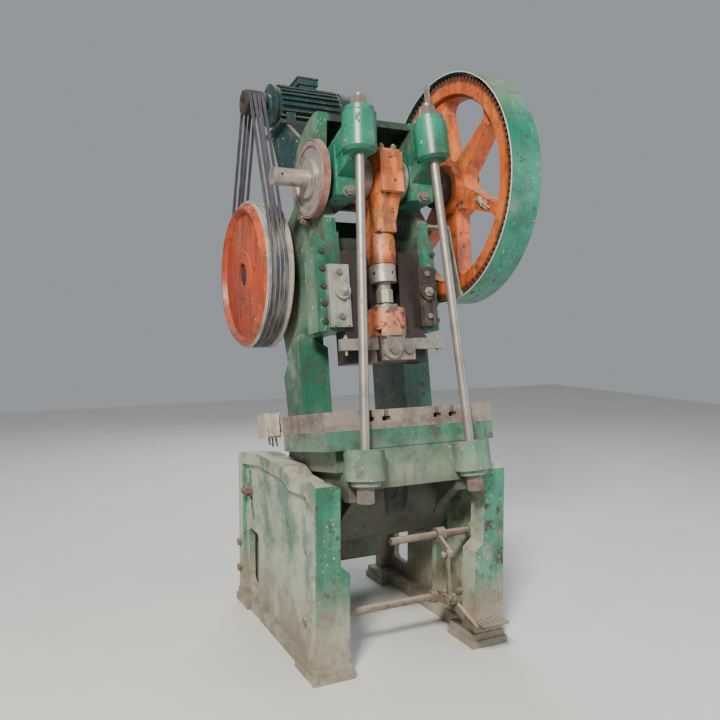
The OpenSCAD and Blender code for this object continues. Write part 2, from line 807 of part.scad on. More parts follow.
module brake_bolt() {
  color("#8a8278") on_frame() translate([-281, crank_v, crank_u]) rotate([-48, 0, 0]) {
    translate([0, 184, -50]) cylinder(r = 7.9, h = 104);
    translate([0, 184, 20.6]) cylinder(r = 15, h = 13, $fn = 6);
    translate([0, 184, -32.6]) cylinder(r = 15, h = 12, $fn = 6);
    // foot on the cheek and the arm that carries the bolt
    translate([18, 160, -49]) cube([7.9, 40, 16]);
    translate([-14, 174, -49]) cube([39.9, 20, 8]);
  }
}

module cable_block() {
  color("#c9c0a8") on_frame() difference() {
    union() {
      box(-466, -398, 528, 640, 268, 380);
      box(-398.1, -lip_half, 545, 570, 290, 330);
      box(-460, -404, 519, 529, 276, 372);
    }
    for (x = [-448, -432, -416]) translate([x, 545, 260]) cylinder(r = 5, h = 30);
  }
}

// Crank line

module crankshaft() {
  color("#9a9389") on_frame() {
    difference() {
      bar_x(-462, -300, crank_v, crank_u, stub_r);
      bar_y(crank_v - 50, crank_v + 50, -428, crank_u, 6);
    }
    bar_x(-306, -258, crank_v, crank_u, 49.9);
    bar_x(-258, -115, crank_v, crank_u, journal_r);
    bar_x(115, 262, crank_v, crank_u, journal_r);
    bar_x(262, 531, crank_v, crank_u, gear_seat_r);
    bar_x(531, 556, crank_v, crank_u, gear_end_r);
    both_sides() difference() {
      union() {
        bar_x(58, 116, crank_v, crank_u, 88);
        bar_x(58, 116, crank_v - throw, crank_u, 88);
        box(58, 116, crank_v - throw, crank_v, crank_u - 88, crank_u + 88);
      }
      bar_x(57, 60, crank_v, crank_u, 30);
    }
    bar_x(-58.1, 58.1, crank_v - throw, crank_u, pin_r);
  }
}

module crankpin_bush() {
  color("#a8823c") on_frame() difference() {
    bar_x(-56, 56, crank_v - throw, crank_u, pin_bush_r);
    bar_x(-57, 57, crank_v - throw, crank_u, pin_r);
  }
}

// Wheel outline in the side view with z teeth. A tooth centre points along angle a0.
module toothed(z, m, a0, thin) {
  pitch = m * z / 2;
  steps = [[-1.25, 0.62], [-0.45, 0.55], [0.5, 0.4], [1, 0.26]];
  half = 90 / z;
  polygon([for (i = [0:z - 1], s = [0:7])
    let (k = s < 4 ? s : 7 - s, side = s < 4 ? -1 : 1, st = steps[k],
         a = a0 + i * 360 / z + side * half * st[1] * 2 * thin, r = pitch + m * st[0])
    [r * cos(a), r * sin(a)]]);
}

// Rounded three-cornered window between two spokes.
module spoke_window(a) {
  outer_r = 424;
  corner = 46;
  nose_r = 40;
  spread = 19.5;
  nose = 176;
  c = outer_r - corner;
  d = [c * cos(spread) - nose, c * sin(spread)];
  len = norm(d);
  turn = atan2(d[1], d[0]);
  tilt = asin((corner - nose_r) / len);
  n = turn + 90 + tilt;
  rotate(a) polygon(concat(
    arc(nose, 0, nose_r, n, 360 - n, 10),
    arc(c * cos(-spread), c * sin(-spread), corner, 360 - n, 360 - spread, 8),
    arc(0, 0, outer_r, -spread, spread, 12),
    arc(c * cos(spread), c * sin(spread), corner, spread, n, 8)
  ));
}

module bull_gear() {
  color("#d1552a") on_frame() difference() {
    translate([0, crank_v, crank_u]) union() {
      difference() {
        side_plate(gear_x0, gear_x0 + gear_w) toothed(gear_z, gear_m, -back_angle + 180 / gear_z, 0.96);
        bar_x(gear_x0 - 1, gear_x0 + gear_w + 1, 0, 0, 436);
      }
      difference() {
        bar_x(gear_x0 + 22, gear_x0 + gear_w - 22, 0, 0, 438);
        for (i = [0:5]) side_plate(gear_x0, gear_x0 + gear_w) spoke_window(28 + 30 + 60 * i);
      }
      bar_x(gear_x0 - 10, gear_x0 + gear_w + 6, 0, 0, 118);
    }
    bar_x(gear_x0 - 20, gear_x0 + gear_w + 20, crank_v, crank_u, 64);
  }
}

module gear_bush() {
  color("#a8823c") on_frame() difference() {
    bar_x(gear_x0 - 12, gear_x0 + gear_w + 8, crank_v, crank_u, 64);
    bar_x(gear_x0 - 13, gear_x0 + gear_w + 9, crank_v, crank_u, gear_seat_r + run_gap);
  }
}

module gear_collar() {
  color("#857d72") on_frame() difference() {
    union() {
      bar_x(gear_x0 + gear_w + 9, 545, crank_v, crank_u, 78);
      bar_x(330, gear_x0 - 13, crank_v, crank_u, 84);
    }
    bar_x(gear_x0 + gear_w + 8, 532, crank_v, crank_u, gear_seat_r + run_gap);
    bar_x(530, 546, crank_v, crank_u, gear_end_r + run_gap);
    bar_x(329, gear_x0 - 12, crank_v, crank_u, gear_seat_r + run_gap);
  }
}

// Back shaft line

module back_shaft() {
  color("#8f887e") on_frame() {
    bar_x(-440, 530, back_v, back_u, back_r);
    bar_x(273, 285, back_v, back_u, 62);
    bar_x(-285, -273, back_v, back_u, 62);
  }
}

// Belt grooves of a wheel, from the last belt to the first, seen as radius and place along the shaft.
// Their flanks pass a belt's inner corners with the belt play.
function grooves(rim, seat, first) =
  [for (i = [belts - 1:-1:0], s = [[0, 1], [groove_deep, 1], [groove_deep, -1], [0, -1]])
    [rim - s[0], first + belt_pitch * i
      + s[1] * (belt_half + belt_play + groove_slope * (rim - s[0] - seat))]];

module flywheel() {
  color("#c8502a") on_frame() translate([fly_x0 - 32, back_v, back_u]) rotate([0, 90, 0]) difference() {
    rotate_extrude($fn = 96) polygon(concat(
      [[58, 24], [58, 148], [96, 148], [96, 84], [300, 84], [300, 140], [fly_r - 4, 147], [fly_r, 147],
       [fly_r, 140], [fly_r - 8, 136]],
      grooves(fly_r - 8, fly_r - belt_seat, belt_first - fly_x0 + 32),
      [[fly_r - 8, 36], [fly_r, 32], [320, 0], [312, 0], [300, 26], [120, 22], [112, 16], [58, 16]]
    ));
    translate([0, 0, 60]) cylinder(r = 58, h = 100);
  }
  color("#c8502a") on_frame() difference() {
    bar_x(fly_x0 + 20, fly_x0 + 116, back_v, back_u, 60);
    bar_x(fly_x0 + 19, fly_x0 + 117, back_v, back_u, back_r);
  }
}

module pinion() {
  color("#6f6a62") on_frame() difference() {
    translate([0, back_v, back_u]) union() {
      side_plate(gear_x0, gear_x0 + gear_w) toothed(pinion_z, gear_m, 180 - back_angle, 0.96);
      bar_x(gear_x0 - 20, gear_x0 + gear_w + 6, 0, 0, 72);
    }
    bar_x(gear_x0 - 21, gear_x0 + gear_w + 7, back_v, back_u, back_r);
  }
}

module motor_shaft() {
  color("#8f887e") on_frame() bar_x(-418, 44, motor_v, motor_u, 17);
}

module pulley_profile(r) {
  polygon(concat(
    [[17, -8], [17, 92], [r, 92]],
    grooves(r, r - pulley_seat, 11),
    [[r, -8]]
  ));
}

module motor_pulley() {
  color("#5a5650") on_frame() translate([belt_first - 11, motor_v, motor_u]) rotate([0, 90, 0])
    rotate_extrude() pulley_profile(pulley_r);
}

// One belt: straight runs between the two pulleys and the two wrapped arcs.
module belt(x) {
  big = fly_r - belt_seat;
  small = pulley_r - pulley_seat;
  d = [motor_v - back_v, motor_u - back_u];
  turn = atan2(d[1], d[0]);
  swing = acos((big - small) / norm(d));
  function loop(grow) = concat(
    arc(back_v, back_u, big + grow, turn + swing, turn + 360 - swing, 40),
    arc(motor_v, motor_u, small + grow, turn - swing, turn + swing, 16)
  );
  difference() {
    side_plate(x - belt_half, x + belt_half) polygon(loop(belt_thick));
    side_plate(x - belt_half - 1, x + belt_half + 1) polygon(loop(0));
  }
}

module drive_belts() {
  color("#2a3040") on_frame() for (i = [0:belts - 1]) belt(belt_first + belt_pitch * i);
}

// Slide line

module connecting_rod() {
  color("#cf6330") on_frame() difference() {
    union() {
      box(-54, 54, rod_face, 365, crank_u - 95, crank_u - 0.1);
      hull() {
        box(-52, 52, rod_face + 30, 335, crank_u - 100, crank_u - 94);
        box(-46, 46, ram_v - 70, ram_v + 75, 1165, 1180);
      }
      box(-46, 46, ram_v - 70, ram_v + 75, 1120, 1166);
      translate([0, ram_v, 985]) cylinder(r = 64, h = 110);
      translate([0, ram_v, 1094.9]) cylinder(r1 = 64, r2 = 52, h = 60);
    }
    rod_slot();
    translate([0, ram_v, 980]) cylinder(r = screw_r + run_gap, h = 195);
    for (x = [-30, 30], v = [84, 342]) translate([x, v, crank_u - 70]) cylinder(r = 9, h = 90);
    // oval hollow in the side
    both_sides() translate([-60, ram_v, 1215]) rotate([0, 90, 0]) cylinder(r = 26, h = 14);
  }
}

// The pin's path in the rod over the half turn of the stroke, while the rod moves evenly with the angle.
module rod_slot() {
  for (a = [-90:slot_step:90])
    bar_x(-60, 60, crank_v - throw * cos(a), crank_u - throw * (sin(a) - a / 90), pin_bush_r + slot_play);
}

module rod_cap() {
  color("#d8693a") on_frame() difference() {
    union() {
      box(-54, 54, rod_face, 365, crank_u, crank_u + 78);
      box(-54, 54, rod_face + 16, 349, crank_u + 77.9, crank_u + 96);
    }
    rod_slot();
    for (x = [-30, 30], v = [84, 342]) translate([x, v, crank_u - 1]) cylinder(r = 9, h = 120);
  }
}

module rod_nuts() {
  color("#80776b") on_frame() for (x = [-30, 30], v = [84, 342]) translate([x, v, 0]) {
    translate([0, 0, crank_u - 68]) cylinder(r = 8.9, h = 186);
    translate([0, 0, crank_u + 96.1]) cylinder(r = 15, h = 14, $fn = 6);
  }
}

module lock_ring() {
  color("#8d8a84") on_frame() difference() {
    translate([0, ram_v, 908]) cylinder(r = 59, h = 76.5);
    translate([0, ram_v, 907]) cylinder(r = screw_r + run_gap, h = 79);
    for (a = [200:90:470]) translate([0, ram_v, 944]) rotate([0, 90, a]) translate([0, 0, 36]) cylinder(r = 8, h = 30);
    box(-1.5, 1.5, ram_v, ram_v + 70, 900, 990);
  }
}

module ball_screw() {
  color("#a09c94") on_frame() translate([0, ram_v, 0]) {
    translate([0, 0, 735]) sphere(ball_r);
    translate([0, 0, 770]) cylinder(r = 29, h = 50);
    translate([0, 0, 815]) cylinder(r = 39, h = 62, $fn = 8);
    translate([0, 0, 876]) cylinder(r = screw_r, h = 276);
  }
}

module ram() {
  color("#c96a44") on_frame() difference() {
    union() {
      box(-wing_half, wing_half, column_v + guide_gap, guide_back, 560, 1050);
      translate([0, ram_v, 560]) cylinder(r = ram_r, h = 230);
      box(-78, 78, 128, 240, 560, 668);
    }
    // room for the rod, the lock ring and the screw
    box(-84, 84, 100, 282, 790, 1060);
    translate([0, ram_v, 735]) sphere(ball_r + run_gap);
    translate([0, ram_v, 735]) cylinder(r = 52, h = 60);
    translate([0, ram_v, 550]) cylinder(r = shank_r, h = 100);
    // flat seat of the shank clamp
    box(-100, 100, 100, 128, 550, 668);
    // slot of the knockout bar
    box(-200, 200, bar_v - 1, bar_v + bar_t + 1, 610.9, 698);
    bar_y(100, bar_v - 1.5, -42, 608, 12);
    bar_y(100, bar_v - 1.5, 38, 604, 8);
  }
}

module ram_cap() {
  color("#8d8a84") on_frame() difference() {
    union() {
      translate([0, ram_v, 790.1]) cylinder(r = 60, h = 15);
      translate([0, ram_v, 752]) cylinder(r = 51.9, h = 38.2);
      for (a = [15:60:345]) translate([47 * cos(a), ram_v + 47 * sin(a), 805]) cylinder(r = 7, h = 6, $fn = 6);
    }
    translate([0, ram_v, 735]) sphere(ball_r + run_gap);
    translate([0, ram_v, 750]) cylinder(r = 36, h = 70);
  }
}

module shank_clamp() {
  color("#8f8a82") on_frame() difference() {
    union() {
      box(-72, 72, 98, 127.9, 562, 650);
      bar_y(80, 99, -42, 608, 42);
    }
    bar_y(70, 130, -42, 608, 12);
    bar_y(70, 130, 38, 604, 8);
  }
}

module clamp_nuts() {
  color("#9c958a") on_frame() {
    bar_y(58, bar_v - 2, -42, 608, 11.9);
    hex_y(62, 79.9, -42, 608, 20);
    bar_y(84, bar_v - 2, 38, 604, 7.9);
    hex_y(84, 97.9, 38, 604, 17);
  }
}

module knockout_bar() {
  color("#8c867c") on_frame() difference() {
    box(-250, 250, bar_v, bar_v + bar_t, 611, 658);
    for (x = [-bar_pin_x, bar_pin_x]) translate([x, bar_v + bar_t / 2, 610]) cylinder(r = bar_pin_r, h = 50);
  }
}

// Pins near the ends keep the bar in the slot.
module bar_pins() {
  color("#948d82") on_frame() for (x = [-bar_pin_x, bar_pin_x]) translate([x, bar_v + bar_t / 2, 0]) {
    translate([0, 0, 590]) cylinder(r = bar_pin_r, h = 84);
    translate([0, 0, 658.1]) cylinder(r = 10, h = 8);
  }
}

leg_left();
leg_right();
rear_spreader();
spreader_bolts();
pedal_shaft();
pedal_arm();
pedal_pad();
trip_link();
trip_shaft();
trip_lever();
press_frame();
clamp_bolts();
bolster_plate();
bolster_bolts();
tie_rod_left();
tie_rod_right();
tie_rod_nuts();
bearing_cap_left();
bearing_cap_right();
bearing_cap_nuts();
crank_bushes();
gib_left();
gib_right();
gib_bolts();
gib_adjusters();
back_shaft_bushes();
motor_bracket();
motor_body();
motor_fan_cover();
terminal_box();
gear_guard();
guard_straps();
brake_band();
brake_lining();
brake_bolt();
cable_block();
crankshaft();
brake_drum();
crankpin_bush();
bull_gear();
gear_bush();
gear_collar();
back_shaft();
flywheel();
pinion();
motor_shaft();
motor_pulley();
drive_belts();
connecting_rod();
rod_cap();
rod_nuts();
lock_ring();
ball_screw();
ram();
ram_cap();
shank_clamp();
clamp_nuts();
knockout_bar();
bar_pins();
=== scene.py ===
import bpy
import bmesh
import math
import random
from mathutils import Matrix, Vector, noise


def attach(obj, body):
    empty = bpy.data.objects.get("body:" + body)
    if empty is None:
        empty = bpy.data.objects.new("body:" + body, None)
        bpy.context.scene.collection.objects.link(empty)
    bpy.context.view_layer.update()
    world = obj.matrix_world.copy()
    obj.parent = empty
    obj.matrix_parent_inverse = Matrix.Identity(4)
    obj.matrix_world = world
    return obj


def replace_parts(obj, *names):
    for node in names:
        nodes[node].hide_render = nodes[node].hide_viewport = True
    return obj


random.seed(7)
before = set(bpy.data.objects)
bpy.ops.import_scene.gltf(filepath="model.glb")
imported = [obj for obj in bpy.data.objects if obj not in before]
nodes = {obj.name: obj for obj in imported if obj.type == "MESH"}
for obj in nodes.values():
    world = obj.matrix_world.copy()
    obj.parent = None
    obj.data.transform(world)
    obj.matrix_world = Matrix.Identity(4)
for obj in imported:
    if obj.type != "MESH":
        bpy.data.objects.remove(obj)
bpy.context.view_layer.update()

# The leaned frame: where its origin lies, and its across, back and up directions
LEAN = math.radians(9)
ORIGIN_Y, ORIGIN_Z = -0.565, 0.710
X = Vector((1, 0, 0))
UP = Vector((0, math.sin(LEAN), math.cos(LEAN)))
BACK = Vector((0, math.cos(LEAN), -math.sin(LEAN)))


def at(x, v, u):
    """A point of the leaned frame in the row frame: across, back and up in metres."""
    return Vector((x, ORIGIN_Y, ORIGIN_Z)) + BACK * v + UP * u


# Axes of the drive and of the slide, back and up in the leaned frame. The back shaft lies one centre
# distance of the gears from the crankshaft, behind and below it at an angle.
CRANK_V, CRANK_U = 0.265, 1.370
MOTOR_V, MOTOR_U = 0.695, 1.880
GEAR_CENTRES = 0.621
SHAFT_ANGLE = math.radians(30.3)
SHAFT_V = round(CRANK_V + GEAR_CENTRES * math.cos(SHAFT_ANGLE), 4)
SHAFT_U = round(CRANK_U - GEAR_CENTRES * math.sin(SHAFT_ANGLE), 4)
SLIDE_V = 0.205
CRANK = at(0, CRANK_V, CRANK_U)
SHAFT = at(0, SHAFT_V, SHAFT_U)

# Camera: where it stands, how far it looks down and how far it is turned to the right, in degrees
CAMERA_PLACE = (-1.509, -3.065, 1.430)
CAMERA_DOWN = 3.396
CAMERA_TURN = 26.13
camera = bpy.data.objects.new("camera", bpy.data.cameras.new("camera"))
bpy.context.scene.collection.objects.link(camera)
camera.location = CAMERA_PLACE
camera.rotation_euler = (math.radians(90 - CAMERA_DOWN), 0, math.radians(-CAMERA_TURN))
camera.data.sensor_width = 36
camera.data.lens = 36.7
camera.data.clip_end = 60
bpy.context.scene.camera = camera


# Materials
class Mat:
    """A short way to write a node material."""

    def __init__(self, material):
        """Adds to a material's node tree, whatever it holds already."""
        self.material = material
        self.tree = material.node_tree
        self.place = self.node("ShaderNodeTexCoord").outputs["Object"]
        self.normal = self.node("ShaderNodeNewGeometry").outputs["Normal"]

    @classmethod
    def new(cls, name):
        """A new material with nothing but its shader and output."""
        material = bpy.data.materials.new(name)
        material.use_nodes = True
        material.node_tree.nodes.clear()
        m = cls(material)
        m.shader = m.node("ShaderNodeBsdfPrincipled")
        output = m.node("ShaderNodeOutputMaterial")
        m.link(m.shader.outputs[0], output.inputs[0])
        return m

    def node(self, kind):
        return self.tree.nodes.new(kind)

    def link(self, start, end):
        self.tree.links.new(start, end)

    def put(self, socket, value):
        """Feeds a socket from another socket, a number or a colour."""
        if hasattr(value, "is_output"):
            self.link(value, socket)
        elif isinstance(value, tuple):
            socket.default_value = (*value, 1)
        else:
            socket.default_value = value

    def math(self, operation, a, b=0.0, clamp=False):
        k = self.node("ShaderNodeMath")
        k.operation = operation
        k.use_clamp = clamp
        self.put(k.inputs[0], a)
        self.put(k.inputs[1], b)
        return k.outputs[0]

    def plus(self, a, b, clamp=False):
        return self.math("ADD", a, b, clamp)

    def minus(self, a, b, clamp=False):
        return self.math("SUBTRACT", a, b, clamp)

    def times(self, a, b, clamp=False):
        return self.math("MULTIPLY", a, b, clamp)

    def larger(self, a, b, clamp=False):
        return self.math("MAXIMUM", a, b, clamp)

    def uneven(self, value, by, amount):
        """The value pushed up and down by a noise."""
        return self.plus(value, self.times(self.minus(by, 0.5), amount))

    def noise(self, scale, detail=4, stretch=None, seed=0.0, rough=0.55):
        k = self.node("ShaderNodeTexNoise")
        k.inputs["Scale"].default_value = scale
        k.inputs["Detail"].default_value = detail
        k.inputs["Roughness"].default_value = rough
        g = self.node("ShaderNodeMapping")
        g.inputs["Location"].default_value = (seed, seed * 0.7, -seed * 0.4)
        if stretch:
            g.inputs["Scale"].default_value = stretch
        self.link(self.place, g.inputs["Vector"])
        self.link(g.outputs[0], k.inputs["Vector"])
        return k.outputs["Fac"]

    def ramp(self, value, start, end, low=0.0, high=1.0, kind="SMOOTHSTEP"):
        """Goes from low to high while the value goes from start to end."""
        k = self.node("ShaderNodeMapRange")
        k.interpolation_type = kind
        for i, limit in enumerate((start, end, low, high)):
            k.inputs[i + 1].default_value = limit
        self.put(k.inputs[0], value)
        return k.outputs[0]

    def past(self, value, limit, soft=0.0015):
        """1 where the value is past the limit, with a soft border."""
        return self.ramp(value, limit - soft, limit + soft)

    def mix(self, share, a, b):
        """Colour b over colour a by that share."""
        k = self.node("ShaderNodeMix")
        k.data_type = "RGBA"
        self.put(k.inputs[0], share)
        self.put(k.inputs[6], a)
        self.put(k.inputs[7], b)
        return k.outputs[2]

    def rounded(self, radius):
        """The surface's normal with its edges rounded."""
        k = self.node("ShaderNodeBevel")
        k.samples = 4
        k.inputs[0].default_value = radius
        return k.outputs[0]

    def edge(self, radius):
        """1 along convex and concave edges, 0 on flat ground."""
        k = self.node("ShaderNodeVectorMath")
        k.operation = "DOT_PRODUCT"
        self.link(self.rounded(radius), k.inputs[0])
        self.link(self.normal, k.inputs[1])
        return self.ramp(k.outputs["Value"], 0.995, 0.86)

    def part(self, vector, i):
        """The x, y or z part of a vector."""
        k = self.node("ShaderNodeSeparateXYZ")
        self.link(vector, k.inputs[0])
        return k.outputs[i]

    def axis(self, i):
        """The x, y or z coordinate in the row frame."""
        return self.part(self.place, i)

    def upward(self):
        """1 on faces that look up."""
        return self.ramp(self.part(self.normal, 2), 0.35, 0.95)

    def facing_x(self):
        """1 on faces that look left or right."""
        return self.ramp(self.math("ABSOLUTE", self.part(self.normal, 0)), 0.55, 0.9)

    def distance(self, a, b):
        """Length of a flat vector with these two parts."""
        return self.math("SQRT", self.plus(self.times(a, a), self.times(b, b)))

    def radial(self, centre):
        """Distance from a line along X through the point."""
        return self.distance(self.minus(self.axis(1), centre[1]), self.minus(self.axis(2), centre[2]))

    def along(self, direction):
        """Distance along a direction from the leaned frame's origin."""
        k = self.node("ShaderNodeVectorMath")
        k.operation = "DOT_PRODUCT"
        self.link(self.place, k.inputs[0])
        k.inputs[1].default_value = direction
        return self.minus(k.outputs["Value"], at(0, 0, 0).dot(direction))

    def upright(self, x, v):
        """Distance from a line along the leaned frame's up direction."""
        return self.distance(self.minus(self.axis(0), x), self.minus(self.along(BACK), v))

    def done(self, color, rough, metal=0.0, height=None, strength=0.3, distance=0.002, soften=0.003):
        """Sets the shader, with bumps from the height and every edge softened by a radius."""
        self.put(self.shader.inputs["Base Color"], color)
        self.put(self.shader.inputs["Roughness"], rough)
        self.put(self.shader.inputs["Metallic"], metal)
        normal = self.rounded(soften)
        if height is not None:
            k = self.node("ShaderNodeBump")
            k.inputs["Strength"].default_value = strength
            k.inputs["Distance"].default_value = distance
            self.link(height, k.inputs["Height"])
            self.link(normal, k.inputs["Normal"])
            normal = k.outputs[0]
        self.link(normal, self.shader.inputs["Normal"])
        return self.material


def srgb(code):
    """Linear colour of a hex code."""
    parts = [int(code[i:i + 2], 16) / 255 for i in (0, 2, 4)]
    return tuple(c / 12.92 if c <= 0.04045 else ((c + 0.055) / 1.055) ** 2.4 for c in parts)


def scaled(color, share):
    """A darker or lighter shade of a linear colour."""
    return tuple(min(1, c * share) for c in color)


# Colours of what lies on the paint and under it, and of painted shade and light
DUST = srgb("a79a86")
PALE_DUST = srgb("c4bba8")
SIDE_DUST_AND_LIGHT = srgb("b3b59e")
FLECK = srgb("c3c4b2")
MUD = srgb("7d6f60")
RUST = srgb("6e4630")
RUST_RUNS = srgb("5d4331")
GRIME = srgb("3a332a")
# Dark of old grease, also laid on as painted shade
OIL_AND_SHADE = srgb("231f1b")
GREASE = srgb("2a211b")
OIL = srgb("2b241f")
IRON = srgb("3f3a36")
CHIP = srgb("4d362a")
DARK_CHIP = srgb("3b2a22")
GREEN, FADED_GREEN = srgb("165641"), srgb("2f7059")


def bare_iron(m, rub, chips, seed):
    """Mask of chipped spots and rubbed edges."""
    spots = m.noise(24, 8, seed=seed + 5, rough=0.68)
    chip = m.ramp(spots, 0.69 - 0.09 * chips, 0.72 - 0.09 * chips)
    worn = m.times(m.edge(0.007), m.ramp(rub, 0.40, 0.62))
    return m.larger(chip, m.times(worn, min(1.0, 0.45 + chips)), clamp=True)


def dust_cover(m, film, dust, low):
    """Mask of dust on top faces, in patches and, where low is given, thicker towards the floor."""
    cover = m.times(m.upward(), m.ramp(film, 0.25, 0.6, 0.55, 1.0))
    if low is not None:
        thick, thin = low
        fall = m.ramp(m.uneven(m.axis(2), film, 0.5), thin, thick)
        cover = m.larger(cover, m.times(fall, 0.85))
    patches = m.times(m.ramp(film, 0.52, 0.74), 0.55)
    return m.times(m.larger(cover, patches), dust, clamp=True)


def enamel(name, base, faded, chips=0.5, dust=0.5, low=None, grime=0.4, rough=0.42, seed=0.0,
           grease=None, under=CHIP, oil_and_shade=None, sides=0.0, flecks=0.6, foot=None):
    """Old brushed enamel: faded patches, chips down to iron, worn edges, grime and dust.

    low is the height where dust is thick and the one where it thins out, foot the height under which
    mud clings, grease a centre and two radii between which grease sets in, and oil_and_shade a
    function that gives the mask of dark grease and of painted shade.
    """
    m = Mat.new(name)
    tone = m.noise(2.6, 5, seed=seed)
    film = m.noise(5, 6, seed=seed + 7, rough=0.65)
    rub = m.noise(38, 6, seed=seed + 9)

    color = m.mix(m.ramp(tone, 0.38, 0.66), base, faded)
    streaks = m.noise(7, 4, stretch=(3.5, 3.5, 0.35), seed=seed + 3)
    color = m.mix(m.times(m.ramp(streaks, 0.46, 0.72), grime), color, scaled(base, 0.42))
    bare = bare_iron(m, rub, chips, seed)
    color = m.mix(bare, color, m.mix(m.noise(60, 3, seed=seed + 2), under, IRON))
    dusty = dust_cover(m, film, dust, low)
    color = m.mix(dusty, color, m.mix(m.noise(9, 5, seed=seed + 11), DUST, PALE_DUST))
    # Pale dust film on faces that look left or right, partly painted sunlight on those sides
    if sides:
        wide = m.ramp(m.uneven(film, tone, 0.6), 0.36, 0.56, 0.25, 1.0)
        color = m.mix(m.times(m.times(m.facing_x(), wide), sides), color, SIDE_DUST_AND_LIGHT)
    blotch = m.ramp(m.noise(8.5, 9, seed=seed + 17, rough=0.72), 0.47, 0.66)
    color = m.mix(m.times(blotch, 0.35 + 0.35 * grime), color, GRIME)
    fine = m.noise(60, 6, stretch=(1.6, 0.5, 0.9), seed=seed + 19, rough=0.62)
    fleck = m.times(m.ramp(fine, 0.635, 0.67), m.ramp(tone, 0.42, 0.55))
    color = m.mix(m.times(fleck, flecks), color, FLECK)
    if foot is not None:
        mud = m.ramp(m.uneven(m.axis(2), film, 0.5), foot, foot - 0.35)
        thick = m.ramp(m.noise(6, 7, seed=seed + 21, rough=0.65), 0.36, 0.60, 0.25, 0.85)
        color = m.mix(m.times(mud, thick), color, MUD)
    runs = m.noise(13, 5, stretch=(3.0, 3.0, 0.22), seed=seed + 15)
    color = m.mix(m.times(m.ramp(runs, 0.58, 0.74), 0.45 * grime + 0.1), color, RUST_RUNS)
    # Dark grease on the rod, and painted shade in the frame's crown and belly
    if oil_and_shade is not None:
        color = m.mix(oil_and_shade(m), color, OIL_AND_SHADE)
    if grease is not None:
        centre, inner, outer = grease
        ring = m.ramp(m.uneven(m.radial(centre), rub, 0.03), inner, outer)
        color = m.mix(m.times(ring, 0.8), color, GREASE)

    grain = m.noise(190, 3, seed=seed)
    height = m.minus(m.times(grain, 0.5), m.times(bare, 0.6))
    paint = m.plus(rough - 0.08, m.times(tone, 0.16))
    dull = m.plus(m.times(m.larger(bare, dusty), 0.38), paint, clamp=True)
    return m.done(color, dull, 0.0, height, 0.35, 0.0022)


def steel(name, base, rust=0.3, dust=0.3, rough=0.38, metal=0.85, seed=0.0, rust_color=RUST,
          lathe=None, wear=0.5, smudge=0.4):
    """Bare steel or iron with a rust film and dull spots.

    lathe is the axis that its tool marks go round, where it was turned.
    """
    m = Mat.new(name)
    tone = m.noise(6, 6, seed=seed)
    color = m.mix(tone, scaled(base, 0.72), scaled(base, 1.2))
    film = m.noise(11, 8, seed=seed + 4, rough=0.7)
    rusty = m.ramp(film, 0.66 - 0.3 * rust, 0.80 - 0.3 * rust)
    rust_tone = m.mix(m.noise(45, 4, seed=seed + 1), rust_color, scaled(rust_color, 0.5))
    color = m.mix(m.times(rusty, 0.85), color, rust_tone)
    oil = m.ramp(m.noise(9, 7, seed=seed + 6, rough=0.66), 0.47, 0.64)
    color = m.mix(m.times(oil, smudge), color, OIL)
    dusty = m.times(m.times(m.upward(), m.ramp(tone, 0.2, 0.6, 0.5, 1.0)), dust, clamp=True)
    color = m.mix(dusty, color, DUST)
    color = m.mix(m.times(m.edge(0.004), wear), color, scaled(base, 1.7))

    height = m.noise(150, 3, seed=seed)
    if lathe is not None:
        stretch = [0.2, 0.2, 0.2]
        stretch[lathe] = 30.0
        marks = m.noise(24, 2, stretch=tuple(stretch), seed=seed)
        height = m.plus(m.times(height, 0.4), marks)
    covered = m.larger(rusty, dusty)
    dull = m.plus(m.times(covered, 0.36), m.plus(rough, m.times(tone, 0.12)), clamp=True)
    shine = m.times(m.minus(1.0, covered, clamp=True), metal)
    return m.done(color, dull, shine, height, 0.22, 0.0012, 0.0018)


def caked_grease():
    """Dried grease with dust in it."""
    m = Mat.new("caked_grease")
    tone = m.noise(40, 6, seed=8)
    color = m.mix(m.ramp(tone, 0.35, 0.65), srgb("6b5a48"), srgb("b8ac98"))
    dull = m.ramp(tone, 0.3, 0.7, 0.45, 0.8)
    return m.done(color, dull, 0.0, m.noise(120, 4, seed=3), 0.6, 0.003, 0.001)


def belt_rubber():
    """Cloth-wrapped belt: dark blue-grey with pale worn flanks; paler on the flywheel with dust and
    painted sunlight.
    """
    m = Mat.new("belt_rubber")
    tone = m.noise(30, 5, seed=2)
    color = m.mix(tone, srgb("1f2129"), srgb("3a3d48"))
    dust = m.ramp(m.noise(14, 6, stretch=(6.0, 0.6, 0.6), seed=5), 0.40, 0.66)
    # Paler on the flywheel: dust, and painted sunlight there
    near = m.ramp(m.radial(SHAFT), 0.42, 0.35)
    color = m.mix(m.times(dust, m.plus(m.times(near, 0.55), 0.2)), color, srgb("76726d"))
    color = m.mix(m.times(m.edge(0.003), 0.35), color, srgb("6a6966"))
    dull = m.ramp(tone, 0.2, 0.8, 0.55, 0.75)
    return m.done(color, dull, 0.0, m.noise(400, 2), 0.25, 0.0008, 0.0012)


def brake_weave():
    """Woven brake lining."""
    m = Mat.new("lining_weave")
    weave = m.node("ShaderNodeTexWave")
    weave.inputs["Scale"].default_value = 160
    weave.inputs["Distortion"].default_value = 2
    m.link(m.place, weave.inputs["Vector"])
    color = m.mix(weave.outputs["Fac"], srgb("4a3a2e"), srgb("77614c"))
    return m.done(color, 0.85, 0.0, weave.outputs["Fac"], 0.4, 0.001)


# Borders between two finishes of one node: radii, places across, and heights along the slide line
WHEEL_PAINT_R, WHEEL_PAINT_X = 0.330, -0.439
PLATE_BOLTS_X = 0.240
BOSS_R, BOSS_TOP_U = 0.08875, 0.7895
# GUARD_LIP_X is where the painted highlight along the guard band's edge begins
GUARD_LIP_X = 0.3805
# Middle of the grease that comes out at the crankpin
PIN_GREASE = at(0, SLIDE_V, 1.365)


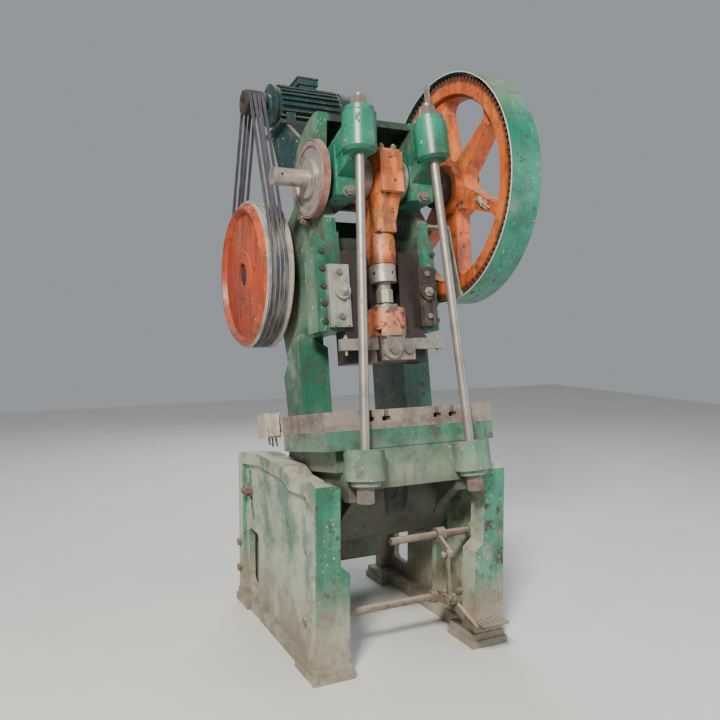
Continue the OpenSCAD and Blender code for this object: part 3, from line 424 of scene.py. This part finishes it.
def crown_shade(m):
    """Painted shade between the bearings, under the crown and behind the slide."""
    inside = m.ramp(m.math("ABSOLUTE", m.axis(0)), 0.215, 0.180)
    high = m.ramp(m.along(UP), 0.66, 0.90)
    patch = m.ramp(m.noise(6, 5, seed=31), 0.30, 0.62, 0.45, 0.85)
    return m.times(m.times(inside, high), patch)


def frame_shade(m):
    """The painted shade of the crown, and painted shade on the belly under the apron."""
    belly = m.times(m.ramp(m.axis(2), 0.83, 0.72), m.ramp(m.along(BACK), -0.02, 0.08))
    return m.larger(crown_shade(m), m.times(belly, 0.72))


def rod_grease(m):
    """Black grease run down the middle of the rod from the crankpin, and round its foot."""
    pin = m.ramp(m.radial(PIN_GREASE), 0.105, 0.060)
    foot = m.ramp(m.along(UP), 1.035, 0.985)
    runs = m.ramp(m.noise(10, 6, stretch=(2.0, 2.0, 0.4), seed=33), 0.46, 0.60)
    both = m.plus(m.times(pin, 0.5), foot)
    return m.times(m.plus(both, m.times(runs, 0.7), clamp=True), 0.7)


def rim_mask(m):
    """The flywheel's belt face outside its painted front edge."""
    outside = m.past(m.radial(SHAFT), WHEEL_PAINT_R)
    return m.times(outside, m.past(m.axis(0), WHEEL_PAINT_X))


def column_mask(m):
    """The bolts in the columns' edges, outside those of the gib plates."""
    return m.past(m.math("ABSOLUTE", m.axis(0)), PLATE_BOLTS_X, 0.002)


def ram_mask(m):
    """Everything of the ram but its round boss."""
    outside = m.past(m.upright(0, SLIDE_V), BOSS_R, 0.00125)
    return m.larger(outside, m.past(m.along(UP), BOSS_TOP_U, 0.001))


def boss_foot(m):
    """The rubbed lower half of the ram's boss."""
    ragged = m.times(m.noise(14, 5, seed=3), 0.05)
    return m.ramp(m.plus(m.along(UP), ragged), 0.720, 0.690)


def shaders(material):
    """The shaders of a material, in the order in which they were made."""
    return [k for k in material.node_tree.nodes if k.type == "BSDF_PRINCIPLED"]


def copy_nodes(source, target):
    """Copies the nodes and links of one node tree into another."""
    settings = ("operation", "use_clamp", "data_type", "interpolation_type", "samples")
    copies = {}
    for old in source.nodes:
        new = target.nodes.new(old.bl_idname)
        for setting in settings:
            if hasattr(old, setting):
                setattr(new, setting, getattr(old, setting))
        for i, socket in enumerate(old.inputs):
            if hasattr(socket, "default_value") and not socket.is_linked:
                new.inputs[i].default_value = socket.default_value
        copies[old.name] = new
    for link in source.links:
        i = list(link.from_node.outputs).index(link.from_socket)
        j = list(link.to_node.inputs).index(link.to_socket)
        start, end = copies[link.from_node.name], copies[link.to_node.name]
        target.links.new(start.outputs[i], end.inputs[j])


# For each socket of the shader that is mixed: the Mix node's type, its two inputs and its output
MIXED = {
    "Base Color": ("RGBA", (6, 7), 2),
    "Roughness": ("FLOAT", (2, 3), 0),
    "Metallic": ("FLOAT", (2, 3), 0),
    "Normal": ("VECTOR", (4, 5), 1),
}


def split(name, inner, outer, mask):
    """A material with two finishes: the second where the mask is 1."""
    material = inner.copy()
    material.name = name
    tree = material.node_tree
    copy_nodes(outer.node_tree, tree)
    first, second = shaders(material)
    outputs = [k for k in tree.nodes if k.type == "OUTPUT_MATERIAL"]
    tree.nodes.remove(outputs[1])
    m = Mat(material)
    share = mask(m)
    for key, (kind, sides, result) in MIXED.items():
        mixer = m.node("ShaderNodeMix")
        mixer.data_type = kind
        m.link(share, mixer.inputs[0])
        for side, shader in zip(sides, (first, second)):
            socket = shader.inputs[key]
            if socket.is_linked:
                m.link(socket.links[0].from_socket, mixer.inputs[side])
            else:
                mixer.inputs[side].default_value = socket.default_value
        m.link(mixer.outputs[result], first.inputs[key])
    tree.nodes.remove(second)
    return material


def lip_highlight(name, inner):
    """The guard band's enamel, with a pale painted highlight along the edge that faces the slide."""
    material = inner.copy()
    material.name = name
    m = Mat(material)
    base = shaders(material)[0].inputs["Base Color"]
    highlight = m.ramp(m.axis(0), GUARD_LIP_X + 0.001, GUARD_LIP_X - 0.001, 0.0, 0.85, kind="LINEAR")
    m.link(m.mix(highlight, base.links[0].from_socket, srgb("c9cfc4")), base)
    return material


# Enamels
MAT = {
    "leg": enamel(
        "leg_enamel", srgb("1d674e"), srgb("3f8269"), chips=1.25, dust=0.8, low=(0.10, 0.40),
        grime=0.5, seed=1.0, sides=0.72, flecks=0.8, foot=0.42),
    "frame": enamel(
        "frame_enamel", GREEN, FADED_GREEN, chips=1.1, dust=0.55, low=(0.58, 1.06),
        grime=0.8, seed=2.3, flecks=0.8, oil_and_shade=frame_shade, sides=0.18),
    "cap": enamel(
        "cap_enamel", srgb("166b54"), srgb("2c8169"), chips=0.95, dust=0.4, rough=0.34, seed=4.1),
    "orange": enamel(
        "rod_enamel", srgb("cb6430"), srgb("dc8b55"), chips=1.0, dust=0.35, grime=0.6, seed=5.5,
        under=DARK_CHIP, oil_and_shade=rod_grease),
    "gear": enamel(
        "gear_enamel", srgb("c2561f"), srgb("d47a3e"), chips=1.1, dust=0.3, grime=0.75, seed=7.4,
        grease=(CRANK, 0.474, 0.494), under=DARK_CHIP),
    # The flywheel's orange, darker and redder as painted shade on its face
    "wheel": enamel(
        "wheel_shaded_enamel", srgb("9e3512"), srgb("b64a1e"), chips=0.9, dust=0.2, grime=0.8, seed=8.8,
        under=DARK_CHIP),
    "motor": enamel(
        "motor_enamel", srgb("0a3033"), srgb("15423f"), chips=0.3, dust=0.4, seed=9.1),
    "block": enamel(
        "block_enamel", srgb("a59d8c"), srgb("bfb9ab"), chips=0.45, dust=0.6, grime=0.5, seed=3.3,
        under=srgb("4a4138")),
    "boss": enamel(
        "boss_enamel", srgb("bc6238"), srgb("cf8a63"), chips=2.0, dust=0.5, grime=0.5, seed=6.2,
        under=srgb("6b4c3c")),
}

# Bare metals
MAT.update({
    "rod": steel(
        "rod_steel", srgb("9a948b"), rust=0.28, dust=0.4, rough=0.42, metal=0.7, seed=1.7,
        smudge=0.18),
    "plate": steel(
        "plate_steel", srgb("8c8077"), rust=0.7, dust=0.8, rough=0.55, metal=0.3, seed=2.2,
        rust_color=srgb("77655a")),
    "bolt": steel(
        "bolt_steel", srgb("7d756c"), rust=0.5, dust=0.4, rough=0.45, metal=0.6, seed=3.9),
    "drum": steel(
        "drum_steel", srgb("aca39a"), rust=0.40, dust=0.2, rough=0.4, metal=0.6, seed=4.4,
        rust_color=srgb("8a6257"), lathe=0),
    "rusty": steel(
        "rusty_rim", srgb("a58276"), rust=0.95, dust=0.2, rough=0.6, metal=0.3, seed=6.6,
        rust_color=srgb("8c5f52")),
    "gib": steel(
        "gib_steel", srgb("95998c"), rust=0.45, dust=0.55, rough=0.5, metal=0.4, seed=5.2),
    "dark": steel(
        "dark_steel", srgb("4a4540"), rust=0.5, dust=0.3, rough=0.45, metal=0.6, seed=7.9),
    "clamp": steel(
        "clamp_steel", srgb("8b867d"), rust=0.4, dust=0.45, rough=0.5, metal=0.5, seed=8.3),
    "bronze": steel(
        "bush_bronze", srgb("8a6a38"), rust=0.2, dust=0.1, rough=0.35, metal=0.9, seed=9.9),
    "rim": steel(
        "rim_steel", srgb("a8a49c"), rust=0.35, dust=0.3, rough=0.5, metal=0.45, seed=2.9,
        rust_color=srgb("6f5747"), lathe=0),
    # Dark greasy iron for the ram's wings: grease, and painted shade between the boss and the gibs
    "grease_and_shade": steel(
        "ram_grease_and_shade", srgb("332c29"), rust=0.4, dust=0.25, rough=0.32, metal=0.25, seed=4.9,
        rust_color=srgb("4d362d"), wear=0.25),
    "bare": steel(
        "bare_boss", srgb("857c70"), rust=0.5, dust=0.5, rough=0.5, metal=0.3, seed=7.2),
    "pedal": steel(
        "pedal_steel", srgb("857a6c"), rust=0.6, dust=0.75, rough=0.55, metal=0.4, seed=1.2),
})

# Belts, lining and grease, and the nodes that have two finishes
MAT["belt"] = belt_rubber()
MAT["lining"] = brake_weave()
MAT["caked"] = caked_grease()
MAT["guard"] = lip_highlight("guard_enamel", MAT["cap"])
MAT["flywheel"] = split("wheel_split", MAT["wheel"], MAT["rim"], rim_mask)
MAT["gib_bolt"] = split("gib_bolt_steel", MAT["bolt"], MAT["dark"], column_mask)
MAT["rubbed_boss"] = split("ram_boss", MAT["boss"], MAT["bare"], boss_foot)
MAT["ram"] = split("ram_split", MAT["rubbed_boss"], MAT["grease_and_shade"], ram_mask)

LOOK = {
    "leg": "leg_left leg_right rear_spreader",
    "frame": "press_frame",
    "cap": "bearing_cap_left bearing_cap_right",
    "guard": "gear_guard",
    "orange": "connecting_rod rod_cap",
    "ram": "ram",
    "gear": "bull_gear",
    "flywheel": "flywheel",
    "motor": "motor_bracket motor_body motor_fan_cover terminal_box",
    "block": "cable_block",
    "rod": "tie_rod_left tie_rod_right ball_screw",
    "plate": "bolster_plate",
    "bolt": "spreader_bolts clamp_bolts bolster_bolts tie_rod_nuts bearing_cap_nuts rod_nuts"
            " brake_bolt clamp_nuts",
    "gib_bolt": "gib_bolts",
    "drum": "brake_drum crankshaft lock_ring",
    "rusty": "brake_band",
    "gib": "gib_left gib_adjusters guard_straps",
    # gib_right takes this dark steel as painted shade; gib_left takes the pale gib steel
    "dark": "gib_right gear_collar back_shaft pinion motor_shaft motor_pulley",
    "clamp": "shank_clamp ram_cap knockout_bar bar_pins",
    "bronze": "crank_bushes back_shaft_bushes crankpin_bush gear_bush",
    "pedal": "pedal_shaft pedal_arm pedal_pad trip_link trip_shaft trip_lever",
    "belt": "drive_belts",
    "lining": "brake_lining",
}
for look, names in LOOK.items():
    for name in names.split():
        for slot in nodes[name].material_slots:
            slot.material = MAT[look]


# Pieces that are modelled here
def piece(name, bm, look, body, smooth=40):
    """A mesh piece from a bmesh, with its material, riding on a body."""
    bmesh.ops.recalc_face_normals(bm, faces=bm.faces)
    mesh = bpy.data.meshes.new(name)
    bm.to_mesh(mesh)
    bm.free()
    mesh.materials.append(MAT[look])
    mesh.shade_smooth()
    mesh.set_sharp_from_angle(angle=math.radians(smooth))
    obj = bpy.data.objects.new(name, mesh)
    bpy.context.scene.collection.objects.link(obj)
    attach(obj, body)
    return obj


def turns(steps):
    """Evenly spaced angles round a full circle."""
    return [2 * math.pi * i / steps for i in range(steps)]


def skin(bm, rows, closed=False):
    """Faces over closed rows of points, with both ends capped, or joined into a loop if closed."""
    rings = [[bm.verts.new(p) for p in row] for row in rows]
    count, around = len(rings), len(rings[0])
    for i in range(count if closed else count - 1):
        a, b = rings[i], rings[(i + 1) % count]
        for j in range(around):
            k = (j + 1) % around
            bm.faces.new((a[j], a[k], b[k], b[j]))
    if not closed:
        bm.faces.new(rings[0])
        bm.faces.new(rings[-1])


def lathe(bm, origin, axis, side, profile, steps):
    """Revolves (radius, distance along the axis) pairs into a closed body of revolution."""
    other = axis.cross(side)
    rows = []
    for r, d in profile:
        centre = origin + axis * d
        rows.append([centre + (side * math.cos(t) + other * math.sin(t)) * r for t in turns(steps)])
    skin(bm, rows)


def thread(bm, origin, axis, side, r, depth, pitch, start, end, steps=40, per_turn=6):
    """A screw thread as one skin: the radius follows a helix down to its root and fades at both ends."""
    other = axis.cross(side)
    count = max(2, int((end - start) / pitch * per_turn))
    rows = []
    for i in range(count + 1):
        d = start + (end - start) * i / count
        fade = min(1.0, (d - start) / pitch * 2, (end - d) / pitch * 2)
        centre = origin + axis * d
        row = []
        for j, t in enumerate(turns(steps)):
            wave = abs(((d / pitch - j / steps) % 1.0) * 2 - 1)
            row.append(centre + (side * math.cos(t) + other * math.sin(t)) * (r - depth * wave * fade))
        rows.append(row)
    skin(bm, rows)


def tube(bm, points, r, steps):
    """A round bar along points."""
    rows = []
    side = None
    for i, point in enumerate(points):
        ahead = (points[min(i + 1, len(points) - 1)] - points[max(i - 1, 0)]).normalized()
        side = ahead.orthogonal() if side is None else side - ahead * side.dot(ahead)
        side.normalize()
        other = ahead.cross(side)
        rows.append([point + (side * math.cos(t) + other * math.sin(t)) * r for t in turns(steps)])
    skin(bm, rows)


# Ball screw: radii, heights along the slide line, chamfers inward and along, and how deep parts join
BALL_R, NECK_R, HEAD_R, STEM_R = 0.046, 0.029, 0.039, 0.033
BALL_U, NECK_U = 0.735, 0.776
HEAD_START_U, HEAD_END_U = 0.815, 0.877
THREAD_END_U, STEM_END_U = 0.972, 1.150
HEAD_CHAMFER = (0.0045, 0.0035)
STEM_CHAMFER = (0.002, 0.002)
NECK_SINK, THREAD_SINK = 0.001, 0.0005
SCREW_DEPTH, SCREW_PITCH = 0.0026, 0.006


def ball_screw():
    """Ball, neck, eight-sided head with chamfers and the threaded stem."""
    foot = at(0, SLIDE_V, 0)
    bm = bmesh.new()
    angles = [math.pi * i / 24 for i in range(1, 20)]
    ball = [(BALL_R * math.sin(a), BALL_U - BALL_R * math.cos(a)) for a in angles]
    neck = [(NECK_R, NECK_U), (NECK_R, HEAD_START_U + NECK_SINK)]
    lathe(bm, foot, UP, X, ball + neck, 48)
    inward, along = HEAD_CHAMFER
    head = [(HEAD_R - inward, HEAD_START_U), (HEAD_R, HEAD_START_U + along),
            (HEAD_R, HEAD_END_U - along), (HEAD_R - inward, HEAD_END_U)]
    lathe(bm, foot, UP, X, head, 8)
    thread(bm, foot, UP, X, STEM_R, SCREW_DEPTH, SCREW_PITCH, HEAD_END_U - THREAD_SINK, THREAD_END_U)
    inward, along = STEM_CHAMFER
    stem = [(STEM_R, THREAD_END_U), (STEM_R, STEM_END_U), (STEM_R - inward, STEM_END_U + along)]
    lathe(bm, foot, UP, X, stem, 40)
    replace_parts(piece("ball_screw_threaded", bm, "rod", "screw"), "ball_screw")


# Drive belts: radii of their inner face, places across, and the section as (across, outward) points
WHEEL_SEAT_R, PULLEY_SEAT_R = 0.345, 0.057
BELT_COUNT = 4
FIRST_BELT_X = -0.4105
BELT_PITCH = 0.021
BELT_SECTION = (
    (-0.0062, -0.001), (0.0062, -0.001),
    (0.0079, 0.0048), (0.0072, 0.0059),
    (-0.0072, 0.0059), (-0.0079, 0.0048),
)
WHEEL_STEPS, PULLEY_STEPS, RUN_STEPS = 48, 20, 14
# How far belts bow sideways on their straight runs, the first and every second one the other way
BOW, BOW_BACK = 0.0035, -0.002


def wrap(v, u, r, start, sweep, steps):
    """Points (back, up, angle, bow) of an arc round a pulley."""
    angles = [start + sweep * i / steps for i in range(steps + 1)]
    return [(v + r * math.cos(a), u + r * math.sin(a), a, 0.0) for a in angles]


def straight_run(start, end, most):
    """Points between two pulleys, bowed sideways by up to most and a little uneven."""
    first, last = Vector(start[:2]), Vector(end[:2])
    points = []
    for i in range(1, RUN_STEPS):
        share = i / RUN_STEPS
        v, u = first.lerp(last, share)
        bow = math.sin(math.pi * share) * random.uniform(0.6, 1.0)
        points.append((v, u, start[2], bow * most))
    return points


def belt(x, most):
    """One closed belt at a place across, bowed sideways by up to most on its straight runs."""
    between = Vector((0, MOTOR_V - SHAFT_V, MOTOR_U - SHAFT_U))
    turn = math.atan2(between[2], between[1])
    swing = math.acos((WHEEL_SEAT_R - PULLEY_SEAT_R) / between.length)
    wheel = wrap(SHAFT_V, SHAFT_U, WHEEL_SEAT_R, turn + swing, 2 * math.pi - 2 * swing, WHEEL_STEPS)
    pulley = wrap(MOTOR_V, MOTOR_U, PULLEY_SEAT_R, turn - swing, 2 * swing, PULLEY_STEPS)
    path = wheel + straight_run(wheel[-1], pulley[0], most)
    path += pulley + straight_run(pulley[-1], wheel[0], most)
    rows = []
    for v, u, a, bow in path:
        rows.append([at(x + w + bow, v + math.cos(a) * h, u + math.sin(a) * h) for w, h in BELT_SECTION])
    bm = bmesh.new()
    skin(bm, rows, closed=True)
    return bm


def drive_belts():
    """Wedge belts side by side, bowed to one side and the other in turn."""
    for k in range(BELT_COUNT):
        bm = belt(FIRST_BELT_X + BELT_PITCH * k, BOW if k % 2 else BOW_BACK)
        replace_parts(piece("drive_belt_%d" % (k + 1), bm, "belt", "frame", 30), "drive_belts")


# Tie rods: across and up at the foot and at the head
ROD_FOOT_X, ROD_FOOT_U = 0.248, 0.145
ROD_HEAD_X, ROD_HEAD_U = 0.172, 1.490
ROD_SPLAY = math.atan((ROD_FOOT_X - ROD_HEAD_X) / (ROD_HEAD_U - ROD_FOOT_U))
# Their upper threads: radius, depth, pitch, and start and end along the rod
ROD_THREAD_R, ROD_THREAD_DEPTH, ROD_THREAD_PITCH = 0.0194, 0.0016, 0.004
ROD_THREAD_START, ROD_THREAD_END = 1.4915, 1.5065


def rod_threads():
    """Cut thread on the end of each tie rod, over its nut."""
    for side, name in ((-1, "left"), (1, "right")):
        along = UP * math.cos(ROD_SPLAY) - X * side * math.sin(ROD_SPLAY)
        foot = at(side * ROD_FOOT_X, 0, ROD_FOOT_U)
        across = along.orthogonal().normalized()
        bm = bmesh.new()
        thread(bm, foot, along, across, ROD_THREAD_R, ROD_THREAD_DEPTH, ROD_THREAD_PITCH,
               ROD_THREAD_START, ROD_THREAD_END)
        piece("rod_thread_" + name, bm, "bolt", "frame", 25)


# Brake spring: middle of the band across, angle and distance of its bolt from the crank axis
BAND_X = -0.281
LUG_ANGLE = math.radians(-48)
LUG_R = 0.184
COIL_TURNS, COIL_STEPS = 5, 96
COIL_R, COIL_LENGTH, WIRE_R = 0.0118, 0.0256, 0.0017


def brake_spring():
    """Open coil between the lugs of the brake band, round its bolt."""
    out = BACK * math.cos(LUG_ANGLE) + UP * math.sin(LUG_ANGLE)
    up = UP * math.cos(LUG_ANGLE) - BACK * math.sin(LUG_ANGLE)
    middle = at(BAND_X, CRANK_V, CRANK_U) + out * LUG_R
    points = []
    for i in range(COIL_STEPS + 1):
        share = i / COIL_STEPS
        t = 2 * math.pi * COIL_TURNS * share
        rise = up * (COIL_LENGTH * share - COIL_LENGTH / 2)
        points.append(middle + rise + (X * math.cos(t) + out * math.sin(t)) * COIL_R)
    bm = bmesh.new()
    tube(bm, points, WIRE_R, 8)
    piece("brake_spring", bm, "bolt", "frame", 60)


# Cable block: places of its glands across, back and up
GLANDS_X = (-0.448, -0.432, -0.416)
GLANDS_V, GLANDS_U = 0.545, 0.280
LEAD_R, LEAD_STEPS = 0.0042, 8


def block_leads():
    """Short ends of the cables that came out of the block's glands."""
    bm = bmesh.new()
    for x in GLANDS_X:
        sway, back = random.uniform(-0.006, 0.006), random.uniform(-0.010, 0.004)
        length = random.uniform(0.040, 0.058)
        points = []
        for i in range(LEAD_STEPS + 1):
            f = i / LEAD_STEPS
            points.append(at(x + sway * f * f, GLANDS_V + back * f * f, GLANDS_U - length * f))
        tube(bm, points, LEAD_R, 12)
    piece("block_leads", bm, "belt", "frame", 50)


# Lump of grease: where it hangs, the two ends of the spoke's line there, and its half sizes
LUMP = at(0.414, 0.004, 1.236)
SPOKE_LINE = (at(0, 0.035, 1.262), at(0, -0.030, 1.205))
LUMP_THICK, LUMP_LONG, LUMP_WIDE = 0.012, 0.052, 0.017


def spoke_grease():
    """The lump of dried grease that hangs on one spoke of the gear."""
    bm = bmesh.new()
    bmesh.ops.create_icosphere(bm, subdivisions=4, radius=1)
    along = (SPOKE_LINE[1] - SPOKE_LINE[0]).normalized()
    across = X.cross(along)
    for v in bm.verts:
        c = v.co * (1 + 0.45 * noise.noise(v.co * 2.3) + 0.18 * noise.noise(v.co * 6.1))
        v.co = LUMP + X * c.x * LUMP_THICK + along * c.y * LUMP_LONG + across * c.z * LUMP_WIDE
    piece("spoke_grease", bm, "caked", "gear_body", 80)


ball_screw()
drive_belts()
rod_threads()
brake_spring()
block_leads()
spoke_grease()


# Floor and light
FLOOR_SIZE, FLOOR_STEPS = 9, 24


def plain_floor():
    """A wide pale floor."""
    bm = bmesh.new()
    bmesh.ops.create_grid(bm, x_segments=FLOOR_STEPS, y_segments=FLOOR_STEPS, size=FLOOR_SIZE)
    mesh = bpy.data.meshes.new("floor")
    bm.to_mesh(mesh)
    bm.free()
    floor = bpy.data.objects.new("floor", mesh)
    bpy.context.scene.collection.objects.link(floor)
    m = Mat.new("floor_plain")
    mesh.materials.append(m.done(m.mix(m.noise(3, 3), srgb("c9c8c4"), srgb("d3d2ce")), 0.8))


def sky(color, strength):
    """Even light from all round."""
    world = bpy.data.worlds.new("studio")
    bpy.context.scene.world = world
    world.use_nodes = True
    background = world.node_tree.nodes["Background"]
    background.inputs[0].default_value = (*color, 1)
    background.inputs[1].default_value = strength


def area(name, place, target, size, power, color):
    """A square soft light that looks at a target."""
    light = bpy.data.lights.new(name, "AREA")
    light.size = size
    light.energy = power
    light.color = color
    obj = bpy.data.objects.new(name, light)
    obj.location = place
    obj.rotation_euler = (Vector(target) - Vector(place)).to_track_quat("-Z", "Y").to_euler()
    bpy.context.scene.collection.objects.link(obj)


plain_floor()
sky((0.80, 0.84, 0.90), 0.40)
area("key", (-3.6, -4.6, 5.2), (0, -0.1, 1.2), 1.2, 860, (1.0, 0.95, 0.87))
area("fill", (4.2, -3.0, 2.6), (0, 0, 1.2), 3.0, 100, (0.86, 0.92, 1.0))
area("rim", (1.5, 4.5, 4.0), (0, 0, 1.4), 2.5, 150, (0.9, 0.95, 1.0))
